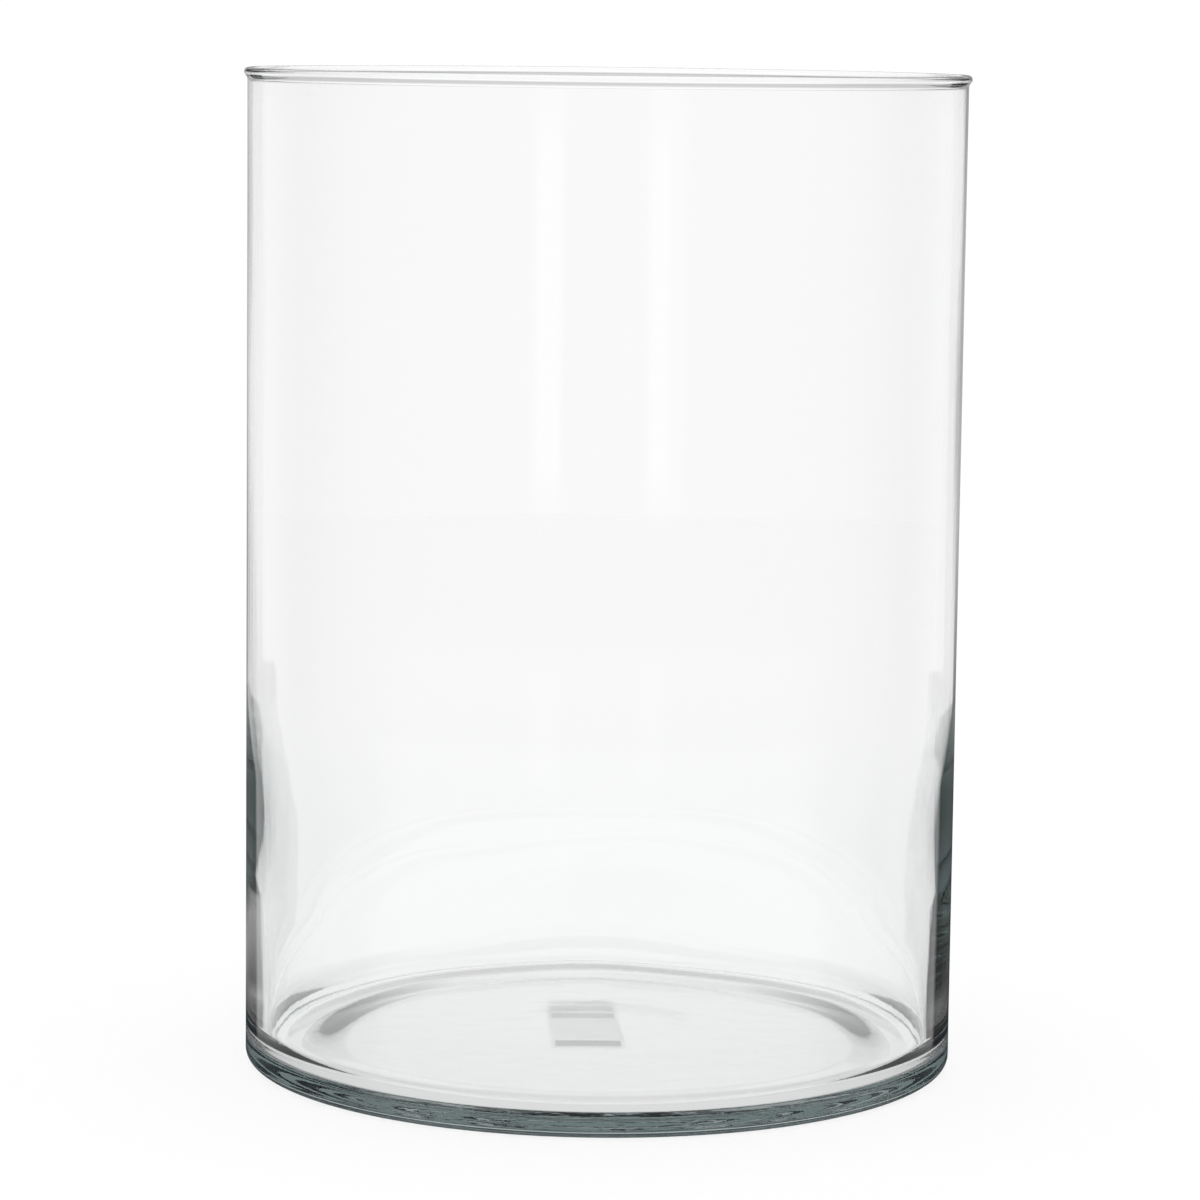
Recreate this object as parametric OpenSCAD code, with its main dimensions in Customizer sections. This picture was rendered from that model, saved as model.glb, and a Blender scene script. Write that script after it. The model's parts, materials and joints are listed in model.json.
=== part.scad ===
// Glass cylinder vase: a blown vessel of clear glass with a fire-polished rim, a straight wall that
// thickens towards a heavy floor, and a small paper label stuck in the recess under the floor.
// The origin is the centre of the foot, on the surface that the vase stands on. +Z runs up the axis.

/* [Vessel] */
// Height from the foot to the top of the rim
vase_h = 300; // [240:1:360]
// Outer diameter of the wall
vase_d = 215; // [200:1:240]

/* [Wall] */
// Thickness of the even upper part of the wall
wall_t = 1.6; // [1.3:0.1:2]
// Thickness of the wall at the top of the heel
heel_t = 5; // [4:0.1:5.4]
// Thickness of the wall at the top of the corner inside
corner_t = 5.8; // [5.5:0.1:6.5]
// Height above which the wall has its even thickness
even_from = 114; // [90:1:160]
// Height of the top of the heel
heel_top = 54; // [34:1:60]

/* [Rim] */
// Radius of the round bead that the flame leaves on the rim
bead_r = 1.3; // [1.3:0.05:1.8]

/* [Floor] */
// Height of the inner floor above the foot
floor_h = 6; // [5:0.1:9]
// Width of the rounded corner between the inner floor and the wall
corner_w = 7; // [5:0.1:9]
// Height of the rounded corner above the inner floor
corner_h = 9; // [6:0.5:12]
// Radius of the shallow dish in the middle of the inner floor
dish_r = 36; // [20:1:45]
// Depth of the dish
dish_depth = 0.3; // [0.1:0.1:0.8]

/* [Foot] */
// Radius of the rounded outer edge of the foot
foot_edge_r = 4; // [2:0.5:6]
// Width of the flat ring that the vase stands on
foot_ring_w = 13; // [10:0.5:16]
// Radius of the flat ceiling of the recess under the floor
recess_r = 76; // [60:1:76]
// Depth of the recess under the floor
recess_depth = 1.2; // [0.6:0.1:2]

/* [Label] */
// Width of the label
label_w = 22; // [16:1:30]
// Length of the label
label_l = 62; // [40:1:70]
// Thickness of the label
label_t = 0.15; // [0.1:0.05:0.3]
// Radius of the label's corners
label_corner_r = 1.5; // [0.5:0.5:4]
// How far the label's middle lies from the axis along X
label_x = -4; // [-10:1:10]
// How far the label's middle lies from the axis along Y
label_y = 15; // [0:1:20]
// Angle at which the label was stuck on, in degrees
label_turn = 3; // [-10:1:10]

/* [Hidden] */

outer_r = vase_d / 2;
inner_r = outer_r - wall_t;
heel_r = outer_r - heel_t;
corner_r = outer_r - corner_t;
floor_r = corner_r - corner_w;
foot_out_r = outer_r - foot_edge_r;
foot_in_r = foot_out_r - foot_ring_w;
// Facets of the revolved body, degrees between points on an arc and on the corner, and steps of a slope
body_fn = 180;
arc_step = 15;
corner_step = 7.5;
slope_steps = 16;

// Half a cosine wave from 0 to 1: a slope with level ends
function ease(u) = (1 - cos(180 * u)) / 2;

// Points round an arc, from angle a0 to angle a1
function arc(centre, r, a0, a1) = [for (a = [a0 : arc_step : a1]) centre + r * [cos(a), sin(a)]];

// Points along a wall whose radius eases from p's to q's as its height runs from p's to q's
function eased_wall(p, q) =
    [for (i = [0 : slope_steps]) let (u = i / slope_steps)
        [p.x + (q.x - p.x) * ease(u), p.y + (q.y - p.y) * u]];

// Points along a floor whose height eases from p's to q's as its radius runs from p's to q's
function eased_floor(p, q) =
    [for (i = [0 : slope_steps]) let (u = i / slope_steps)
        [p.x + (q.x - p.x) * u, p.y + (q.y - p.y) * ease(u)]];

// Points round a quarter of an ellipse, from the wall down to the floor's edge p
function corner(p, w, h) = [for (a = [0 : corner_step : 90]) p + [w * cos(a), h * (1 - sin(a))]];

// The underside: the recess's level ceiling, its slope down to the foot ring, and the foot's edge
function underside() = concat(
    [[0, recess_depth]],
    eased_floor([recess_r, recess_depth], [foot_in_r, 0]),
    arc([foot_out_r, foot_edge_r], foot_edge_r, -90, 0));

// The rim: a short neck out of the wall, then the bead's round, which ends level with the inner wall
function rim() = concat(
    [[outer_r, vase_h - 2.8 * bead_r]],
    arc([inner_r + bead_r, vase_h - bead_r], bead_r, -60, 180));

// The inner face, from the even wall down its thickening, the heel and the corner to the dished floor
function inside() = concat(
    eased_wall([inner_r, even_from], [heel_r, heel_top]),
    corner([floor_r, floor_h], corner_w, corner_h),
    eased_floor([dish_r, floor_h], [0.75 * dish_r, floor_h - dish_depth]),
    [[0, floor_h - dish_depth]]);

module glass_vessel() {
    color("lightcyan", 0.35)
        rotate_extrude($fn = body_fn)
            polygon(concat(underside(), rim(), inside()));
}

// A rectangle with rounded corners, centred on the origin
module rounded_rectangle(w, l, r) {
    square([w - 2 * r, l], center = true);
    square([w, l - 2 * r], center = true);
    for (x = [-1, 1], y = [-1, 1])
        translate([x * (w / 2 - r), y * (l / 2 - r)]) circle(r, $fn = 32);
}

module base_label() {
    color("whitesmoke")
        translate([label_x, label_y, recess_depth - label_t])
            rotate([0, 0, label_turn])
                linear_extrude(label_t)
                    rounded_rectangle(label_w, label_l, label_corner_r);
}

glass_vessel();
base_label();
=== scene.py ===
import json
import math

import bmesh
import bpy
from mathutils import Matrix, Vector


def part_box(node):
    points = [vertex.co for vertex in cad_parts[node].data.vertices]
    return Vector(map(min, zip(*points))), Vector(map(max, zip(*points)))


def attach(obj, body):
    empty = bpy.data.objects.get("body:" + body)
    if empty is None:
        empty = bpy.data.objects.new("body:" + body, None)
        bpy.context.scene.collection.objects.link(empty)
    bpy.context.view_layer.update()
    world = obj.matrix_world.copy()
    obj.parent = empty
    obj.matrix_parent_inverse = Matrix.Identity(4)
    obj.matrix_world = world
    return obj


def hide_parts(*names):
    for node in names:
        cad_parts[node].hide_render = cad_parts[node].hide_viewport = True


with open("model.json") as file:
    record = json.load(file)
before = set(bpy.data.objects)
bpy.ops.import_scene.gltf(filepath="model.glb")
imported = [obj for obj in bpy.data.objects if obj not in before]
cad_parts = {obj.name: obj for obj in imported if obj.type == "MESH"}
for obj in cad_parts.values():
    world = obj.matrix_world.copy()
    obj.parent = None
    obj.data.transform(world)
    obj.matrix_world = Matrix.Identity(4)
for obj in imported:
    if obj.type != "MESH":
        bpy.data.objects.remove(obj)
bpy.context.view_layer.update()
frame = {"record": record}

# ---- Sizes, in metres -------------------------------------------------------------------------

_, vessel_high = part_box("glass_vessel")
label_low, label_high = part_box("base_label")
mouth = next(m for m in frame["record"]["mounts"] if m["name"] == "mouth")

HEIGHT = vessel_high.z
RIM_R = vessel_high.x
INNER_R = mouth["dims"]["r_mm"] / 1000
BEAD_R = (RIM_R - INNER_R) / 2
WALL_T = 0.0016
OUTER_R = INNER_R + WALL_T
EVEN_FROM = 0.114
HEEL_R = OUTER_R - 0.005
HEEL_TOP = 0.054
CORNER_R = OUTER_R - 0.0058
CORNER_W = 0.007
CORNER_H = 0.009
FLOOR_R = CORNER_R - CORNER_W
FLOOR_H = 0.006
DISH_R = 0.036
DISH_X, DISH_Y = 0.004, 0.010
DISH_DEPTH = 0.0002
FOOT_EDGE_R = 0.004
FOOT_EDGE_H = 0.0034
FOOT_OUT_R = OUTER_R - FOOT_EDGE_R
FOOT_IN_R = FOOT_OUT_R - 0.013
RECESS_R = 0.076
RECESS_DEPTH = 0.0012

LABEL_W, LABEL_L, LABEL_T = 0.022, 0.062, 0.0001
LABEL_TURN = math.radians(3)
# How far the label lies below the glass
LABEL_GAP = 0.00003

# Height above which the wall has no ripples
RIPPLE_TOP = HEIGHT - 4 * BEAD_R
SEGMENTS = 288


# ---- Curves of the glass profile, as (radius, height) -----------------------------------------

def ease(u):
    """Half a cosine wave from 0 to 1."""
    return (1 - math.cos(math.pi * u)) / 2


def straight(p, q, steps):
    return [(p[0] + (q[0] - p[0]) * i / steps, p[1] + (q[1] - p[1]) * i / steps) for i in range(steps)]


def eased_floor(p, q, steps):
    return [(p[0] + (q[0] - p[0]) * i / steps, p[1] + (q[1] - p[1]) * ease(i / steps)) for i in range(steps)]


def arc(centre, radius, start, end, steps):
    angles = [math.radians(start + (end - start) * i / steps) for i in range(steps)]
    return [(centre[0] + radius * math.cos(a), centre[1] + radius * math.sin(a)) for a in angles]


def corner(p, width, height, steps):
    """A quarter of an ellipse, from the wall down to the floor's edge p."""
    angles = [math.pi / 2 * i / steps for i in range(steps)]
    return [(p[0] + width * math.cos(a), p[1] + height * (1 - math.sin(a))) for a in angles]


def foot_edge(steps):
    """A quarter of an ellipse from the foot ring's edge up to the wall."""
    angles = [math.pi / 2 * i / steps for i in range(steps)]
    return [(FOOT_OUT_R + FOOT_EDGE_R * math.sin(a), FOOT_EDGE_H * (1 - math.cos(a))) for a in angles]


def cubic(a, b, c, d, steps):
    """A Bezier curve from a to d, which sets out towards b and comes in from c."""
    rows = []
    for i in range(steps):
        u = i / steps
        v = 1 - u
        weights = (v * v * v, 3 * v * v * u, 3 * v * u * u, u * u * u)
        rows.append(tuple(sum(w * p[k] for w, p in zip(weights, (a, b, c, d))) for k in (0, 1)))
    return rows


def outer_rows():
    """From the middle of the underside, over the foot and up the outer wall to the top of the bead."""
    neck = (OUTER_R, HEIGHT - 2.75 * BEAD_R)
    neck_bend = (OUTER_R, neck[1] + 0.4 * BEAD_R)
    bead = (INNER_R + BEAD_R, HEIGHT - BEAD_R)
    bead_from = -34
    cheek = arc(bead, BEAD_R, bead_from, 0, 1)[0]
    cheek_bend = (cheek[0] - 0.25 * BEAD_R, cheek[1] - 0.3 * BEAD_R)
    return (
        straight((0, RECESS_DEPTH), (RECESS_R, RECESS_DEPTH), 18)
        + eased_floor((RECESS_R, RECESS_DEPTH), (FOOT_IN_R, 0), 12)
        + straight((FOOT_IN_R, 0), (FOOT_OUT_R, 0), 5)
        + foot_edge(10)
        + straight((OUTER_R, FOOT_EDGE_H), (OUTER_R, 2 * FOOT_EDGE_R), 6)
        + straight((OUTER_R, 2 * FOOT_EDGE_R), (OUTER_R, neck[1] - 0.002), 66)
        + straight((OUTER_R, neck[1] - 0.002), neck, 3)
        + cubic(neck, neck_bend, cheek_bend, cheek, 10)
        + arc(bead, BEAD_R, bead_from, 90, 12)
    )


def inner_rows():
    """From the top of the bead down the inner wall, round the corner and across the floor to its middle."""
    even_bend = (INNER_R, EVEN_FROM - 0.022)
    heel_bend = (HEEL_R + 0.0005, HEEL_TOP + 0.02)
    return (
        arc((INNER_R + BEAD_R, HEIGHT - BEAD_R), BEAD_R, 90, 180, 9)
        + straight((INNER_R, HEIGHT - BEAD_R), (INNER_R, HEIGHT - 3 * BEAD_R), 3)
        + straight((INNER_R, HEIGHT - 3 * BEAD_R), (INNER_R, EVEN_FROM), 44)
        + cubic((INNER_R, EVEN_FROM), even_bend, heel_bend, (HEEL_R, HEEL_TOP), 30)
        + straight((HEEL_R, HEEL_TOP), (CORNER_R, FLOOR_H + CORNER_H), 16)
        + corner((FLOOR_R, FLOOR_H), CORNER_W, CORNER_H, 24)
        + straight((FLOOR_R, FLOOR_H), (0, FLOOR_H), 60)
    )


# ---- Meshes -----------------------------------------------------------------------------------

def lathe(name, rows, segments):
    """A closed surface turned round the Z axis. The first and last rows close on the axis."""
    mesh = bmesh.new()
    start = mesh.verts.new((0, 0, rows[0][1]))
    rings = []
    for r, z in rows[1:-1]:
        turn = [2 * math.pi * i / segments for i in range(segments)]
        rings.append([mesh.verts.new((r * math.cos(a), r * math.sin(a), z)) for a in turn])
    end = mesh.verts.new((0, 0, rows[-1][1]))
    for i in range(segments):
        j = (i + 1) % segments
        mesh.faces.new((start, rings[0][j], rings[0][i]))
        mesh.faces.new((end, rings[-1][i], rings[-1][j]))
        for low, high in zip(rings, rings[1:]):
            mesh.faces.new((low[i], low[j], high[j], high[i]))
    for face in mesh.faces:
        face.smooth = True
    data = bpy.data.meshes.new(name)
    mesh.to_mesh(data)
    mesh.free()
    piece = bpy.data.objects.new(name, data)
    bpy.context.scene.collection.objects.link(piece)
    return piece


def inside_ripple(angle, z):
    """How far the blown glass strays inwards from the true cylinder inside: long soft hollows and swells."""
    turns = (
        (0.35, 2, 0, 0.4), (0.25, 3, 31, 1.9), (0.22, 5, -44, 4.0), (0.10, 9, 58, 2.6), (0.08, 14, -37, 5.1))
    swell = sum(height * math.sin(turn * angle + rise * z + start) for height, turn, rise, start in turns)
    low = 1 - ease(min(max((z - 0.03) / 0.12, 0), 1))
    return swell * (0.00005 + 0.00025 * low)


def outside_ripple(angle, z):
    """How far the outer wall lies inside the true cylinder."""
    turns = ((0.5, 3, 12, 0.7), (0.3, 7, -23, 2.2), (0.2, 12, 41, 3.9))
    swell = sum(height * math.sin(turn * angle + rise * z + start) for height, turn, rise, start in turns)
    return 0.00002 * (1 + swell)


def settle_glass(vase):
    """Moves the turned surface a little, as blown glass is: rippled walls and an off-centre dish."""
    dish = Vector((DISH_X, DISH_Y))
    for vertex in vase.data.vertices:
        x, y, z = vertex.co
        r, angle = math.hypot(x, y), math.atan2(y, x)
        top_fade = ease(min((RIPPLE_TOP - z) / 0.02, 1))
        if z > FLOOR_H + 0.0002 and r < OUTER_R - 0.0014 and z < RIPPLE_TOP:
            fade = ease(min((z - FLOOR_H) / 0.02, 1)) * top_fade
            r -= inside_ripple(angle, z) * fade
        elif FOOT_EDGE_R < z < RIPPLE_TOP and r > OUTER_R - 0.0001:
            fade = ease(min((z - FOOT_EDGE_R) / 0.01, 1)) * top_fade
            r -= outside_ripple(angle, z) * fade
        elif abs(z - FLOOR_H) < 0.0001 and r < FLOOR_R + 0.0001:
            away = (Vector((x, y)) - dish).length
            z -= DISH_DEPTH * (1 - ease(min(max((away / DISH_R - 0.5) / 0.6, 0), 1)))
        vertex.co = (r * math.cos(angle), r * math.sin(angle), z)


def make_vase():
    rows = outer_rows() + inner_rows() + [(0, FLOOR_H)]
    vase = lathe("vase_glass", rows, SEGMENTS)
    settle_glass(vase)
    vase.data.materials.append(glass_material())
    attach(vase, "root")
    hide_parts("glass_vessel")


def make_label():
    """The paper label, a thin sheet close under the glass, square to the CAD label's own turn."""
    middle = (label_low + label_high) / 2
    mesh = bmesh.new()
    steps_x, steps_y = 22, 62
    grid, spots = [], {}
    for j in range(steps_y + 1):
        row = []
        for i in range(steps_x + 1):
            x, y = LABEL_W * (i / steps_x - 0.5), LABEL_L * (j / steps_y - 0.5)
            place = Matrix.Rotation(LABEL_TURN, 2) @ Vector((x, y))
            row.append(mesh.verts.new((middle.x + place.x, middle.y + place.y, RECESS_DEPTH - LABEL_GAP)))
            spots[row[-1]] = (i / steps_x, j / steps_y)
        grid.append(row)
    for low, high in zip(grid, grid[1:]):
        for i in range(steps_x):
            mesh.faces.new((low[i], low[i + 1], high[i + 1], high[i]))
    data = bpy.data.meshes.new("base_label_paper")
    sheet = mesh.loops.layers.uv.new("sheet")
    for face in mesh.faces:
        for loop in face.loops:
            loop[sheet].uv = spots[loop.vert]
    mesh.to_mesh(data)
    mesh.free()
    label = bpy.data.objects.new("base_label_paper", data)
    bpy.context.scene.collection.objects.link(label)
    thick = label.modifiers.new("thickness", "SOLIDIFY")
    thick.thickness = LABEL_T
    thick.offset = -1
    label.data.materials.append(label_material())
    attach(label, "root")
    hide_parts("base_label")


# ---- Node trees -------------------------------------------------------------------------------

class Tree:
    """Shorthand for building a node tree from nothing."""

    def __init__(self, tree):
        self.nodes, self.links = tree.nodes, tree.links
        self.nodes.clear()

    def add(self, kind, inputs=(), **settings):
        """A new node. inputs holds (socket name or number, value or output to link) pairs."""
        node = self.nodes.new("ShaderNode" + kind)
        for name, value in settings.items():
            setattr(node, name, value)
        for key, value in inputs:
            if isinstance(value, bpy.types.NodeSocket):
                self.links.new(value, node.inputs[key])
            else:
                node.inputs[key].default_value = value
        return node

    def math(self, operation, *values):
        return self.add("Math", list(enumerate(values)), operation=operation).outputs[0]

    def smooth(self, value, start, end, low=0.0, high=1.0):
        """low up to start, high from end on, and a smooth step between."""
        pairs = [("Value", value), ("From Min", start), ("From Max", end), ("To Min", low), ("To Max", high)]
        return self.add("MapRange", pairs, interpolation_type="SMOOTHSTEP").outputs[0]

    def ramp(self, value, stops):
        """A grey level that passes through the given (position, level) stops, with positions from 0 to 1."""
        node = self.add("ValToRGB", [("Fac", value)])
        while len(node.color_ramp.elements) < len(stops):
            node.color_ramp.elements.new(0.5)
        for element, (position, level) in zip(node.color_ramp.elements, stops):
            element.position = position
            element.color = (level, level, level, 1)
        return node.outputs["Color"]

    def mix(self, factor, first, second, blend="MIX"):
        node = self.add("Mix", data_type="RGBA", blend_type=blend)
        for socket, value in ((0, factor), (6, first), (7, second)):
            if isinstance(value, bpy.types.NodeSocket):
                self.links.new(value, node.inputs[socket])
            else:
                node.inputs[socket].default_value = value
        return node.outputs[2]


def new_material(name):
    material = bpy.data.materials.new(name)
    material.use_nodes = True
    return material, Tree(material.node_tree)


# ---- Materials --------------------------------------------------------------------------------

def glass_material():
    """Clear glass with a faint tint in its depth, fine upright waves, and a little haze in places."""
    material, tree = new_material("clear_glass")
    place = tree.add("TexCoord").outputs["Object"]
    drawn = tree.add("Mapping", [("Vector", place), ("Scale", (1.0, 1.0, 0.12))]).outputs[0]
    waves = tree.add("TexNoise", [("Vector", drawn), ("Scale", 90.0), ("Detail", 3.0)]).outputs["Fac"]
    haze = tree.add("TexNoise", [("Vector", place), ("Scale", 25.0)]).outputs["Fac"]
    bump = tree.add("Bump", [("Strength", 0.12), ("Distance", 0.0002), ("Height", waves)])
    shader = tree.add("BsdfPrincipled", [
        ("Base Color", (1, 1, 1, 1)), ("Transmission Weight", 1.0), ("IOR", 1.5),
        ("Roughness", tree.smooth(haze, 0.45, 0.8, 0.0, 0.012)), ("Normal", bump.outputs[0])])
    absorb = tree.add("VolumeAbsorption", [("Color", (0.75, 0.802, 0.8, 1)), ("Density", 12.0)])
    tree.add("OutputMaterial", [("Surface", shader.outputs[0]), ("Volume", absorb.outputs[0])])
    return material


# The label's bars, as (middle, half width, strength) along the label from its near end
BARS = (0.09, 0.065, 0.78), (0.67, 0.055, 0.58), (0.82, 0.06, 0.42), (0.945, 0.03, 0.3)


def label_material():
    """Coated paper printed with plain grey bars: three across the far end and one across the near end."""
    material, tree = new_material("label_paper")
    place = tree.add("TexCoord").outputs
    u, v, _ = tree.add("SeparateXYZ", [(0, place["UV"])]).outputs
    inset = tree.smooth(tree.math("ABSOLUTE", tree.math("SUBTRACT", u, 0.5)), 0.44, 0.45, 1.0, 0.0)
    bars = None
    for middle, half, strength in BARS:
        off = tree.math("ABSOLUTE", tree.math("SUBTRACT", v, middle))
        bar = tree.smooth(off, half - 0.01, half, strength, 0.0)
        bars = bar if bars is None else tree.math("MAXIMUM", bars, bar)
    grain = tree.add("TexNoise", [("Vector", place["Object"]), ("Scale", 1400.0), ("Detail", 4.0)])
    fibre = grain.outputs["Fac"]
    paper = tree.mix(fibre, (0.86, 0.86, 0.85, 1), (0.92, 0.92, 0.91, 1))
    printed = tree.mix(tree.math("MULTIPLY", bars, inset), paper, (0.2, 0.2, 0.21, 1))
    rough = tree.smooth(fibre, 0.2, 0.8, 0.5, 0.65)
    bump = tree.add("Bump", [("Strength", 0.3), ("Distance", 0.00005), ("Height", fibre)])
    shader = tree.add("BsdfPrincipled", [
        ("Base Color", printed), ("Roughness", rough), ("Normal", bump.outputs[0])])
    tree.add("OutputMaterial", [("Surface", shader.outputs[0])])
    return material


# ---- Studio -----------------------------------------------------------------------------------

# Light Path counts are whole numbers, so each of these lies halfway between two of them.
# A count over ONCE is at least one, over TWICE at least two, and over OFTEN at least three.
ONCE = 0.5
TWICE = 1.5
OFTEN = 2.5
# A ray let through fewer times than this has gone into the glass and out again once at most
CROSSED_WALL = 2.5

WHITE = 1.03
DIM_ABOVE = 0.65
LAMPS = 2.4
FLOOR_PAINT, FLOOR_GLOW = 0.125, 0.755
# Painted contact shadow: the nearly black that the floor shows close round the foot
PAINTED_CONTACT_SHADOW = (0.03, 0.035, 0.04, 1)


def grey(level):
    return (level, level, level, 1)


def levels(tree, value, stops):
    """A grey level that passes through (value, level) stops."""
    low, high = stops[0][0], stops[-1][0]
    place = tree.add("MapRange", [("Value", value), ("From Min", low), ("From Max", high)]).outputs[0]
    return tree.ramp(place, [((at - low) / (high - low), level) for at, level in stops])


def floor_under_vase(tree, path, x, y):
    """What the glass reflects of the floor it stands on, as painted light and shade: pale at first, painted
    shade from the second time on, darker towards the front and the sides, and grey-green from the third time
    on for rays that crossed the wall once at most.
    """
    kept_inside = tree.math("LESS_THAN", path["Transmission Depth"], CROSSED_WALL)
    often = tree.math("GREATER_THAN", path["Glossy Depth"], OFTEN)
    twice = tree.math("GREATER_THAN", path["Glossy Depth"], TWICE)
    sideways = tree.math("DIVIDE", tree.math("ABSOLUTE", x), OUTER_R)
    towards_back = tree.smooth(y, -0.4 * OUTER_R, 0.6 * OUTER_R, 0.4, 1.0)
    # Painted shade: the floor under the vase, darker towards the front and the sides
    painted_shade_under_vase = tree.math("MULTIPLY", towards_back, levels(
        tree, sideways, [(0.0, 1.1), (0.45, 1.0), (0.72, 0.45), (0.92, 0.03), (1.0, 0.03)]))
    # Painted shade in grey-green, for rays reflected three times or more
    painted_green_shade = tree.mix(1.0, painted_shade_under_vase, (0.26, 0.3, 0.3, 1), "MULTIPLY")
    once = tree.mix(kept_inside, grey(1.0), grey(0.75))
    return tree.mix(tree.math("MULTIPLY", kept_inside, often), tree.mix(twice, once, painted_shade_under_vase), painted_green_shade)


def floor_material():
    """Pale floor. Seen in the glass it shows painted shade under the vase, a painted contact shadow, nearly
    black, close round the foot, and the studio past that.
    """
    material, tree = new_material("pale_floor")
    path = tree.add("LightPath").outputs
    place = tree.add("NewGeometry").outputs["Position"]
    radius = tree.add("VectorMath", [(0, place)], operation="LENGTH").outputs["Value"]
    x, y, _ = tree.add("SeparateXYZ", [(0, place)]).outputs
    diffuse = tree.add("BsdfDiffuse", [("Color", grey(FLOOR_PAINT))])
    glow = tree.add("Emission", [("Color", grey(1.0)), ("Strength", FLOOR_GLOW)])
    lit = tree.add("AddShader", [(0, diffuse.outputs[0]), (1, glow.outputs[0])])
    # Painted light and shade of the floor under the vase, seen only in reflections
    pale = tree.add("Emission", [("Color", floor_under_vase(tree, path, x, y))])
    clear = tree.add("BsdfTransparent")
    past_foot = tree.smooth(radius, OUTER_R, OUTER_R + 0.005)
    reflection = tree.add("MixShader", [(0, past_foot), (1, pale.outputs[0]), (2, clear.outputs[0])])
    # Ring round the foot where the painted contact shadow lies
    contact = tree.math(
        "MULTIPLY", tree.smooth(radius, OUTER_R - 0.03, OUTER_R - 0.02),
        tree.smooth(radius, OUTER_R + 0.015, OUTER_R + 0.04, 1.0, 0.0))
    passes = path["Transmission Depth"]
    # Exactly two: into the glass and out of it
    in_and_out = tree.math("LESS_THAN", tree.math("ABSOLUTE", tree.math("SUBTRACT", passes, 2.0)), 0.5)
    never_in = tree.math("LESS_THAN", passes, ONCE)
    # Painted contact shadow, seen through one crossing of the glass and in the glass's outer reflection
    shade = tree.add("Emission", [("Color", PAINTED_CONTACT_SHADOW)])
    seen = tree.add("MixShader", [
        (0, tree.math("MULTIPLY", contact, in_and_out)), (1, lit.outputs[0]), (2, shade.outputs[0])])
    mirrored = tree.add("MixShader", [
        (0, tree.math("MULTIPLY", contact, never_in)), (1, reflection.outputs[0]), (2, shade.outputs[0])])
    is_reflected = tree.math("GREATER_THAN", path["Glossy Depth"], ONCE)
    both = tree.add("MixShader", [(0, is_reflected), (1, seen.outputs[0]), (2, mirrored.outputs[0])])
    tree.add("OutputMaterial", [("Surface", both.outputs[0])])
    return material


def make_floor():
    mesh = bmesh.new()
    bmesh.ops.create_circle(mesh, cap_ends=True, radius=1.5, segments=96)
    data = bpy.data.meshes.new("floor")
    mesh.to_mesh(data)
    mesh.free()
    floor = bpy.data.objects.new("floor", data)
    bpy.context.scene.collection.objects.link(floor)
    floor.data.materials.append(floor_material())


def softbox(tree, turn, middle, width):
    """1 in an upright strip, in degrees round from straight ahead, fading to 0 past its sides."""
    off = tree.math("ABSOLUTE", tree.math("SUBTRACT", turn, math.radians(middle)))
    return tree.smooth(off, math.radians(width / 2), math.radians(width), 1.0, 0.0)


def opposite_camera(tree, x, z):
    """The dark end of the studio, by how steeply it is seen: its left half and its right half."""
    left = levels(tree, z, [
        (-0.60, 1.0), (-0.48, 0.9), (-0.42, 0.12), (-0.36, 0.07), (-0.262, 0.06), (-0.256, 0.22),
        (-0.252, 0.38), (-0.246, 0.38), (-0.242, 0.12), (-0.23, 0.06), (-0.212, 0.08), (-0.208, 0.3),
        (-0.199, 0.34), (-0.193, 0.08), (-0.168, 0.06), (-0.151, 0.26), (-0.129, 0.36), (-0.107, 0.41),
        (-0.085, 0.5), (-0.02, 0.62), (0.03, 0.5), (0.11, 0.45), (0.16, 0.88), (0.32, 0.88),
        (0.38, 0.12), (0.75, 0.12), (0.85, 1.0)])
    right = levels(tree, z, [
        (-0.60, 1.0), (-0.48, 0.9), (-0.42, 0.06), (-0.36, 0.035), (-0.17, 0.035), (-0.164, 0.06),
        (-0.151, 0.26), (-0.129, 0.40), (-0.107, 0.6), (-0.06, 0.6), (-0.02, 0.45), (0.03, 0.4),
        (0.11, 0.45), (0.16, 0.88), (0.32, 0.88), (0.38, 0.12), (0.75, 0.12), (0.85, 1.0)])
    return tree.mix(tree.smooth(x, -0.01, 0.01), left, right)


def beside_camera(tree, z, off_axis):
    """The pale walls of the studio, which grow greyer towards the camera."""
    walls = levels(tree, z, [
        (-0.6, 0.75), (-0.3, 0.85), (-0.02, 0.85), (0.04, 0.1), (0.34, 0.1), (0.42, 0.95)])
    fade = tree.smooth(off_axis, math.radians(42), math.radians(65), 1.0, 0.6)
    return tree.mix(1.0, walls, fade, "MULTIPLY")


def behind_camera(tree, z, turn):
    """The grey wall behind the camera, with two upright softboxes."""
    wall = levels(tree, z, [
        (-0.5, 0.8), (-0.24, 0.8), (-0.205, 0.8), (-0.185, 0.58), (-0.165, 0.5), (0.0, 0.5), (0.1, 0.8),
        (0.35, 0.9), (0.42, 0.15), (0.75, 0.15), (0.85, 1.0)])
    strips = tree.math("MAXIMUM", softbox(tree, turn, -162.3, 5), softbox(tree, turn, 160.4, 7))
    tall = levels(tree, z, [(-0.115, 0), (-0.1, 1), (-0.03, 1), (0.0, 0)])
    return tree.mix(tree.math("MULTIPLY", strips, tall), wall, grey(0.78))


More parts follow.
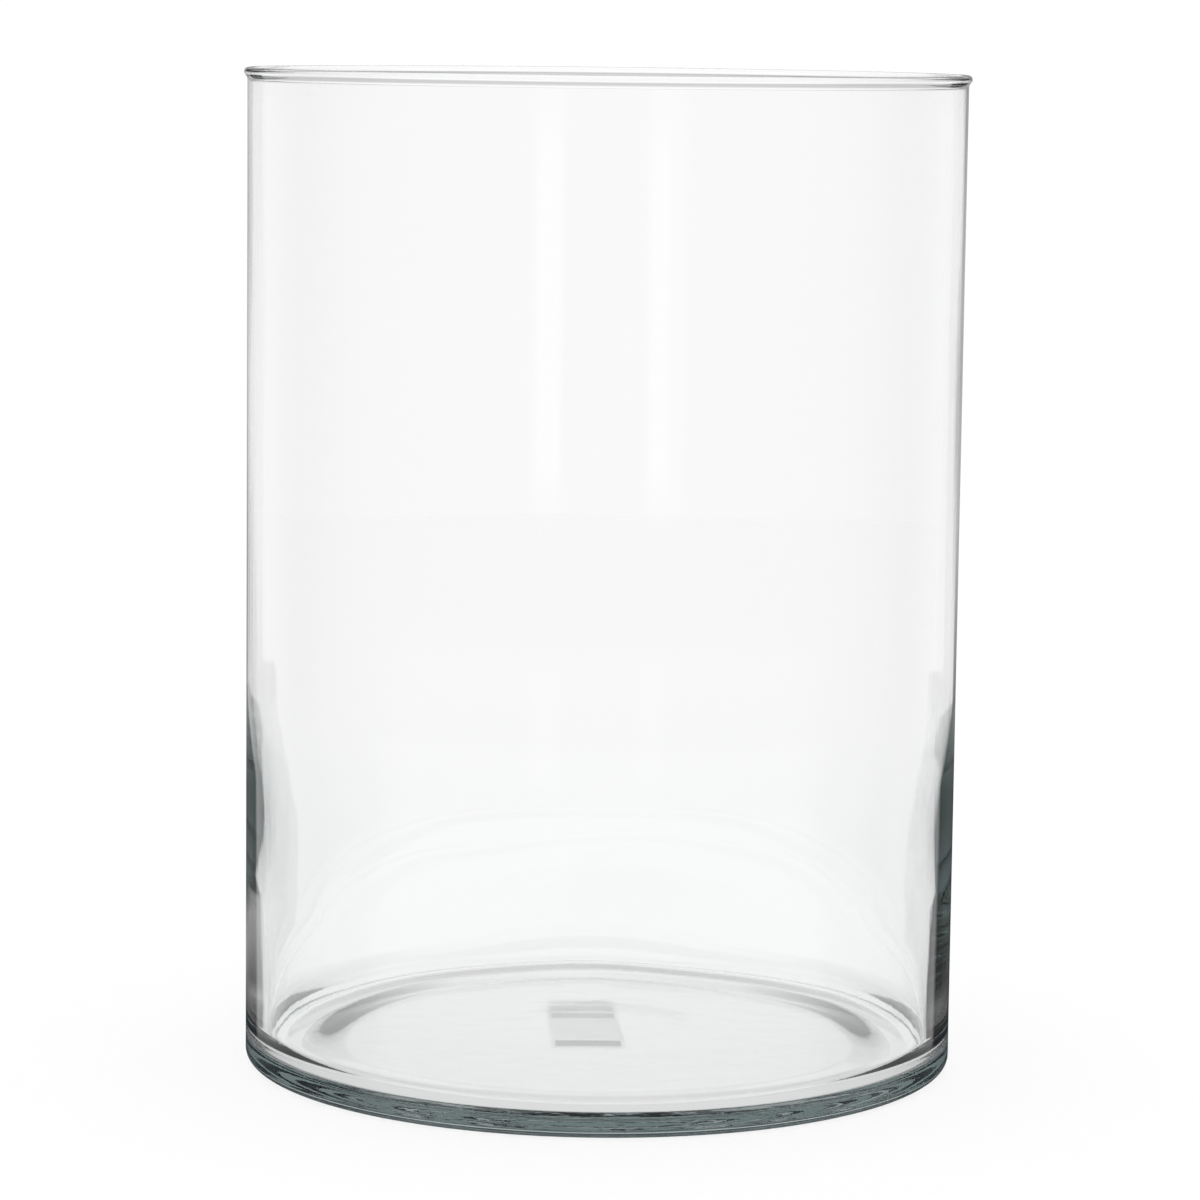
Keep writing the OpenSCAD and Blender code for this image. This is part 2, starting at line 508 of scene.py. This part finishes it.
def seen_once(tree, x, z, turn, off_axis):
    """What one reflection shows: dark opposite the camera, pale walls beside it and a grey one behind it."""
    dark_to = levels(tree, z, [
        (-0.40, 0.44), (-0.30, 0.46), (-0.265, 0.60), (-0.24, 0.64), (-0.168, 0.60), (-0.15, 0.30),
        (0.0, 0.30)])
    less_at_left = tree.smooth(x, -0.01, 0.01, 0.08, 0.0)
    beyond = tree.math("ADD", tree.math("SUBTRACT", off_axis, dark_to), less_at_left)
    to_side = tree.smooth(beyond, 0.0, math.radians(4))
    front = tree.mix(to_side, opposite_camera(tree, x, z), beside_camera(tree, z, off_axis))
    to_back = tree.smooth(off_axis, math.radians(95), math.radians(110))
    return tree.mix(to_back, front, behind_camera(tree, z, turn))


def seen_often(tree, z, turn):
    """What light that zigzags through the thick floor shows: grey straight through, black to the sides."""
    slab = levels(tree, tree.math("DIVIDE", turn, math.radians(1)), [
        (-110, 0.02), (-47, 0.02), (-40, 0.35), (-33, 0.55), (-21, 0.45), (-12, 0.5), (0, 0.52),
        (12, 0.55), (21, 0.5), (28, 0.25), (33, 0.02), (110, 0.01)])
    window = levels(tree, tree.math("ABSOLUTE", z), [
        (0.0, 0.2), (0.15, 0.25), (0.2, 1.0), (0.27, 1.0), (0.32, 0.07)])
    return tree.mix(1.0, slab, window, "MULTIPLY")


def surroundings(tree, path, x, y, z):
    """What the glass reflects of the studio, by direction and by how often the ray was reflected."""
    turn = tree.math("ARCTAN2", x, y)
    off_axis = tree.math("ABSOLUTE", turn)
    often = tree.math("GREATER_THAN", path["Glossy Depth"], TWICE)
    kept_inside = tree.math("LESS_THAN", path["Transmission Depth"], CROSSED_WALL)
    zigzag = tree.mix(kept_inside, grey(1.0), seen_often(tree, z, turn))
    return tree.mix(often, seen_once(tree, x, z, turn, off_axis), zigzag)


def make_world():
    """White to the eye, dimmer above through the glass, the studio to reflections, and lamps to the floor."""
    world = bpy.data.worlds.new("studio")
    bpy.context.scene.world = world
    world.use_nodes = True
    tree = Tree(world.node_tree)
    path = tree.add("LightPath").outputs
    x, y, z = tree.add("SeparateXYZ", [(0, tree.add("TexCoord").outputs["Generated"])]).outputs
    above = levels(tree, z, [(0.0, WHITE), (0.15, WHITE), (0.3, DIM_ABOVE), (0.8, DIM_ABOVE)])
    is_bent = tree.math("GREATER_THAN", path["Transmission Depth"], ONCE)
    is_reflected = tree.math("GREATER_THAN", path["Glossy Depth"], ONCE)
    is_scattered = tree.math("GREATER_THAN", path["Diffuse Depth"], ONCE)
    white = tree.add("Background", [("Color", tree.mix(is_bent, grey(WHITE), above))])
    around = tree.add("Background", [("Color", surroundings(tree, path, x, y, z))])
    lamps = tree.add("Background", [("Color", grey(1.0)), ("Strength", LAMPS)])
    seen = tree.add("MixShader", [(0, is_reflected), (1, white.outputs[0]), (2, around.outputs[0])])
    both = tree.add("MixShader", [(0, is_scattered), (1, seen.outputs[0]), (2, lamps.outputs[0])])
    tree.add("OutputWorld", [("Surface", both.outputs[0])])


def make_camera():
    """The photograph's viewpoint: a long lens a little above the rim, tipped down."""
    place = (0, -1.35, 0.3159)
    data = bpy.data.cameras.new("camera")
    data.sensor_width = 36
    data.lens = 134.7
    camera = bpy.data.objects.new("camera", data)
    bpy.context.scene.collection.objects.link(camera)
    yaw, pitch, roll = (math.radians(a) for a in (0.027, 7.398, 0.683))
    aim = Matrix.Rotation(yaw, 4, "Z") @ Matrix.Rotation(math.pi / 2 - pitch, 4, "X")
    camera.matrix_world = Matrix.Translation(place) @ aim @ Matrix.Rotation(roll, 4, "Z")
    bpy.context.scene.camera = camera


make_vase()
make_floor()
make_world()
make_camera()
make_label()

BOUNCES = 32
scene = bpy.context.scene
scene.view_settings.view_transform = "Standard"
scene.cycles.max_bounces = BOUNCES
scene.cycles.transmission_bounces = BOUNCES
scene.cycles.glossy_bounces = BOUNCES
scene.cycles.transparent_max_bounces = BOUNCES
